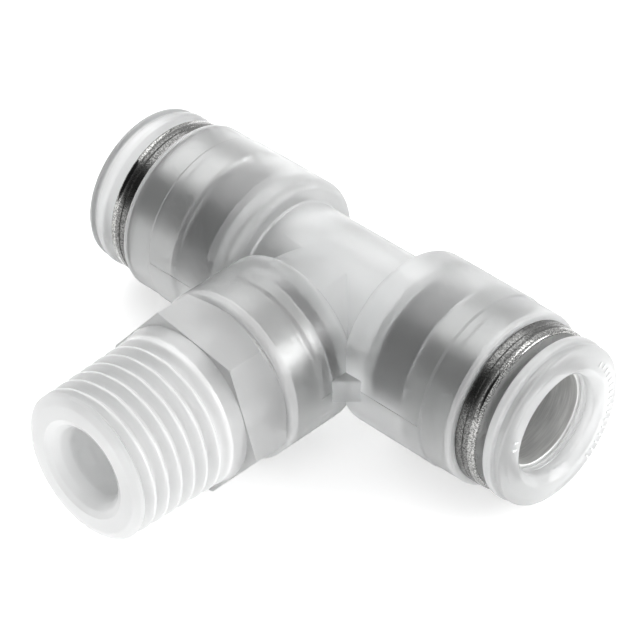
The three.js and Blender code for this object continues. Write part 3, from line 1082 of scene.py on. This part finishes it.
@dataclass
class SwivelStud:
    """The threaded stud with its bearing, clip and O-ring in the branch."""

    pitch: float = 1.337
    depth: float = 0.78
    gauge_radius: float = 6.5785
    gauge_plane: float = 23.45
    taper: float = 1 / 32
    end: float = 29.45
    thread_start: float = 19.6
    thread_end: float = 28.9
    thread_rows: int = 14
    thread_fade: float = 0.5
    core: float = 6.9
    hex_flats: float = 14.0
    hex_rear: float = 14.1
    hex_front: float = 18.35
    hex_turn: float = 20.5
    rear_chamfer: float = 0.95
    front_chamfer: float = 0.12
    collar: float = 6.6
    collar_rear: float = 13.1
    spigot: float = 4.6
    bore: float = 3.05
    bearing: float = 6.7
    clip_station: float = 11.0
    clip_gap: float = 28.0
    sides: int = 144

    def crest(self, station: float) -> float:
        """Crest radius of the taper thread at a station."""
        return self.gauge_radius + (self.gauge_plane - station) * self.taper

    def rod(self, shop: Workshop) -> Mesh:
        """The outside from the hexagon to the end, with the thread cut by its tree."""
        length = self.thread_end - self.thread_start
        rows = round(length / (self.pitch / self.thread_rows))
        stations = [self.thread_start + length * i / rows for i in range(rows + 1)]
        outline = [
            (0, self.hex_rear), (self.core, self.hex_rear), (self.core, self.hex_front + 0.2, 0.2),
            *[(self.crest(station), station) for station in stations],
            (6.22, 29.1, 0.3), (5.6, self.end, 0.5), (0, self.end),
        ]
        return shop.thread_tree.run(
            turned(outline, self.sides, False), Pitch=self.pitch * MM, Depth=self.depth * MM,
            First=self.thread_start * MM, Last=self.thread_end * MM,
            Fade=self.thread_fade * MM, Finish=shop.finishes.stud)

    def hexagon(self) -> Mesh:
        """Hexagon with its corners turned off at both ends and its edges rounded."""
        corner, lead = self.hex_flats / math.sqrt(3), 0.1
        rear, front = self.hex_rear, self.hex_front
        length = front - rear + lead
        angle = math.radians(self.hex_turn + 30.0)
        bm = bmesh.new()
        bmesh.ops.create_cone(
            bm, cap_ends=True, segments=6, radius1=corner * MM, radius2=corner * MM,
            depth=length * MM)
        lift = Matrix.Translation((0, 0, (front - length / 2) * MM))
        bmesh.ops.transform(bm, matrix=lift @ Matrix.Rotation(angle, 4, "Z"), verts=bm.verts)
        bm.verts.ensure_lookup_table()
        snap = angle - math.atan2(bm.verts[0].co.y, bm.verts[0].co.x)
        bmesh.ops.transform(bm, matrix=Matrix.Rotation(snap, 4, "Z"), verts=bm.verts)
        prism = finished(bm, "prism")
        chamfer = turned([
            (0, rear - lead), (6.95, rear - lead), (6.95, rear), (corner, rear + self.rear_chamfer),
            (corner, front - self.front_chamfer), (corner - self.front_chamfer, front), (0, front),
        ], self.sides, False)
        return softened(combined(prism, chamfer, Blend.SHARED), 0.1)

    def stud(self, shop: Workshop) -> Mesh:
        """The whole stud, hexagon and spigot joined and the bore cut."""
        radius, clip = self.spigot, self.clip_station
        groove, clip_groove, past = 3.98, 4.05, self.end + 0.5
        spigot = turned([
            (0, 6.6), (radius, 6.6, 0.35), (radius, 6.95, 0.08), (groove, 6.95, 0.1),
            (groove, 8.35, 0.1), (radius, 8.35, 0.08), (radius, clip - 0.4, 0.05),
            (clip_groove, clip - 0.4), (clip_groove, clip + 0.4), (radius, clip + 0.4, 0.05),
            (radius, self.collar_rear, 0.2), (self.collar, self.collar_rear, 0.3),
            (self.collar, self.hex_rear), (0, self.hex_rear),
        ], self.sides, False)
        bore = turned([
            (0, 5.6), (self.bore, 5.6), (self.bore, 27.9, 0.8), (3.3, 28.65, 0.6),
            (3.8, 29.2, 0.5), (4.35, self.end, 0.25), (4.6, past), (0, past),
        ], self.sides, False)
        body = combined(self.rod(shop), self.hexagon(), Blend.JOIN)
        body = combined(body, spigot, Blend.JOIN)
        body = combined(body, bore, Blend.CUT)
        for face in body.polygons:
            face.material_index = 1 if face.center.z < self.thread_start * MM else 0
        return body

    def bearing_sleeve(self) -> Mesh:
        """Stainless bearing with an outer groove and the clip's groove inside."""
        outer, bore, clip = self.bearing, self.spigot + 0.08, self.clip_station
        rear, front, groove = 8.95, 12.95, outer - 0.3
        return turned([
            (bore, rear, 0.1), (outer, rear, 0.15), (outer, 9.85, 0.1), (groove, 10.05, 0.1),
            (groove, 10.45, 0.1), (outer, 10.65, 0.1), (outer, front, 0.15), (bore, front, 0.1),
            (bore, clip + 0.42), (5.5, clip + 0.42), (5.5, clip - 0.42), (bore, clip - 0.42),
        ], self.sides)

    def retaining_clip(self) -> Mesh:
        """Open spring clip in the stud's groove."""
        gap, inner, outer = math.radians(self.clip_gap), 4.12, 5.4
        rear, front = self.clip_station - 0.3, self.clip_station + 0.3
        return turned([
            (inner, rear, 0.08), (outer, rear, 0.08), (outer, front, 0.08), (inner, front, 0.08),
        ], 96, True, None, math.pi / 2 + gap / 2, TURN - gap)

    def o_ring(self) -> Mesh:
        """O-ring near the spigot's tip, squeezed between its groove and the chamber."""
        return turned([
            (4.0, 7.0, 0.45), (5.31, 7.0, 0.4), (5.31, 8.3, 0.4), (4.0, 8.3, 0.45),
        ], self.sides)

    def make(self, shop: Workshop) -> None:
        """Delivers the branch's pieces."""
        looks = shop.finishes
        shop.deliver_all(Facing.BRANCH, [
            ("threaded_stud", self.stud(shop), [looks.stud, looks.hexagon], "stud",
             "polypropylene_stud"),
            ("stud_bearing_sleeve", self.bearing_sleeve(), [looks.turned[Facing.BRANCH]], "tee",
             "stainless_sleeve"),
            ("stud_retaining_clip", self.retaining_clip(), [looks.spring], "stud", "spring_steel"),
            ("stud_o_ring", self.o_ring(), [looks.rubber], "stud", "epdm_seal"),
        ])


# ---------- studio


@dataclass
class Studio:
    """Pale floor, soft lights and the camera."""

    azimuth: float = 44.0
    elevation: float = 38.56
    distance: float = 296.2
    lens: float = 204.0075
    sensor: float = 36.0
    aim_left: float = 2.08748
    aim_down: float = 1.64156
    nearest: float = 0.01
    farthest: float = 20.0
    dim_towards: tuple[float, float, float] = (-0.62, -0.59, 0.52)

    def axes(self) -> tuple[Vector, Vector, Vector]:
        """Unit vectors to the camera's right, up and back."""
        a, e = math.radians(self.azimuth), math.radians(self.elevation)
        back = Vector((math.sin(a) * math.cos(e), -math.cos(a) * math.cos(e), math.sin(e)))
        right = Vector((math.cos(a), math.sin(a), 0))
        return right, back.cross(right), back

    def camera(self, crossing: Vector) -> None:
        """Places the camera so that the crossing sits a little off the middle."""
        right, up, back = self.axes()
        aim = crossing - (right * self.aim_left + up * self.aim_down) * MM
        data = bpy.data.cameras.new("camera")
        data.sensor_width = self.sensor
        data.lens = self.lens
        data.clip_start = self.nearest
        data.clip_end = self.farthest
        camera = linked("camera", data)
        turn = Matrix((right, up, back)).transposed().to_4x4()
        camera.matrix_world = Matrix.Translation(aim + back * self.distance * MM) @ turn
        bpy.context.scene.camera = camera

    def softbox(self, name: str, centre: Vector, direction: Sequence[float], distance: float,
                size: tuple[float, float], power: float) -> None:
        """A large soft lamp that faces the fitting.

        Args:
            name: The lamp's name.
            centre: What it faces.
            direction: From the fitting to the lamp.
            distance: How far away it hangs, in metres.
            size: Its width and height in metres.
            power: Its power in watts.
        """
        data = bpy.data.lights.new(name, "AREA")
        data.shape = "RECTANGLE"
        data.size, data.size_y = size
        data.energy = power
        lamp = linked(name, data)
        towards = Vector(direction).normalized()
        lamp.location = centre + towards * distance
        lamp.rotation_euler = towards.to_track_quat("Z", "Y").to_euler()

    def floor(self) -> None:
        """A plain pale floor."""
        bm = bmesh.new()
        bmesh.ops.create_grid(bm, x_segments=1, y_segments=1, size=4.0)
        mesh = finished(bm, "floor")
        surface = Surface("floor_pale")
        surface.set(Roughness=0.9, Emission_Color=(1.0, 1.0, 1.0, 1.0), Emission_Strength=0.5)
        cloud = surface.spread(surface.noise(scale=30.0), 0.0, 1.0)
        surface.tint(cloud, (0.9, 0.9, 0.9), (0.91, 0.91, 0.91))
        mesh.materials.append(surface.material)
        floor = linked("floor", mesh)

    def surroundings(self) -> None:
        """Even pale light that is dimmer in front and to the left."""
        world = bpy.data.worlds.new("studio")
        bpy.context.scene.world = world
        world.use_nodes = True
        nodes, links = world.node_tree.nodes, world.node_tree.links
        back = next(n for n in nodes if n.type == "BACKGROUND")
        place = nodes.new("ShaderNodeTexCoord")
        dot = nodes.new("ShaderNodeVectorMath")
        dot.operation = "DOT_PRODUCT"
        dot.inputs[1].default_value = Vector(self.dim_towards).normalized()
        ramp = nodes.new("ShaderNodeMapRange")
        ramp.interpolation_type = "SMOOTHSTEP"
        fall = {"From Min": 0.78, "From Max": 0.92, "To Min": 0.84, "To Max": 0.02}
        for key, number in fall.items():
            ramp.inputs[key].default_value = number
        links.new(place.outputs["Generated"], dot.inputs[0])
        links.new(dot.outputs["Value"], ramp.inputs["Value"])
        links.new(ramp.outputs[0], back.inputs["Strength"])
        back.inputs["Color"].default_value = (1.0, 1.0, 1.0, 1.0)

    def build(self, crossing: Vector) -> None:
        """Sets up the studio."""
        bpy.context.scene.view_settings.view_transform = "Standard"
        self.floor()
        self.surroundings()
        self.softbox("overhead", crossing, direction=(-0.57, 0.17, 0.8), distance=0.6,
                     size=(0.6, 0.44), power=1.4)
        self.softbox("side", crossing, direction=(0.75, 0.56, 0.36), distance=0.6,
                     size=(0.3, 0.3), power=1.6)
        self.camera(crossing)


def main() -> None:
    """Builds the fitting piece by piece, then the studio."""
    logging.basicConfig(level=logging.INFO, format="%(name)s %(message)s")
    swivel = next(j for j in frame["joints"] if j["name"] == "stud_swivel")
    crossing = Vector(swivel["pos_m"])
    shop = Workshop(crossing, Finishes(), ring_tree(), thread_tree())
    TeeHousing().make(shop)
    for facing in (Facing.LEFT, Facing.RIGHT):
        TubePort(facing).make(shop)
    SwivelStud().make(shop)
    Studio().build(crossing)


if __name__ == "__main__":
    main()
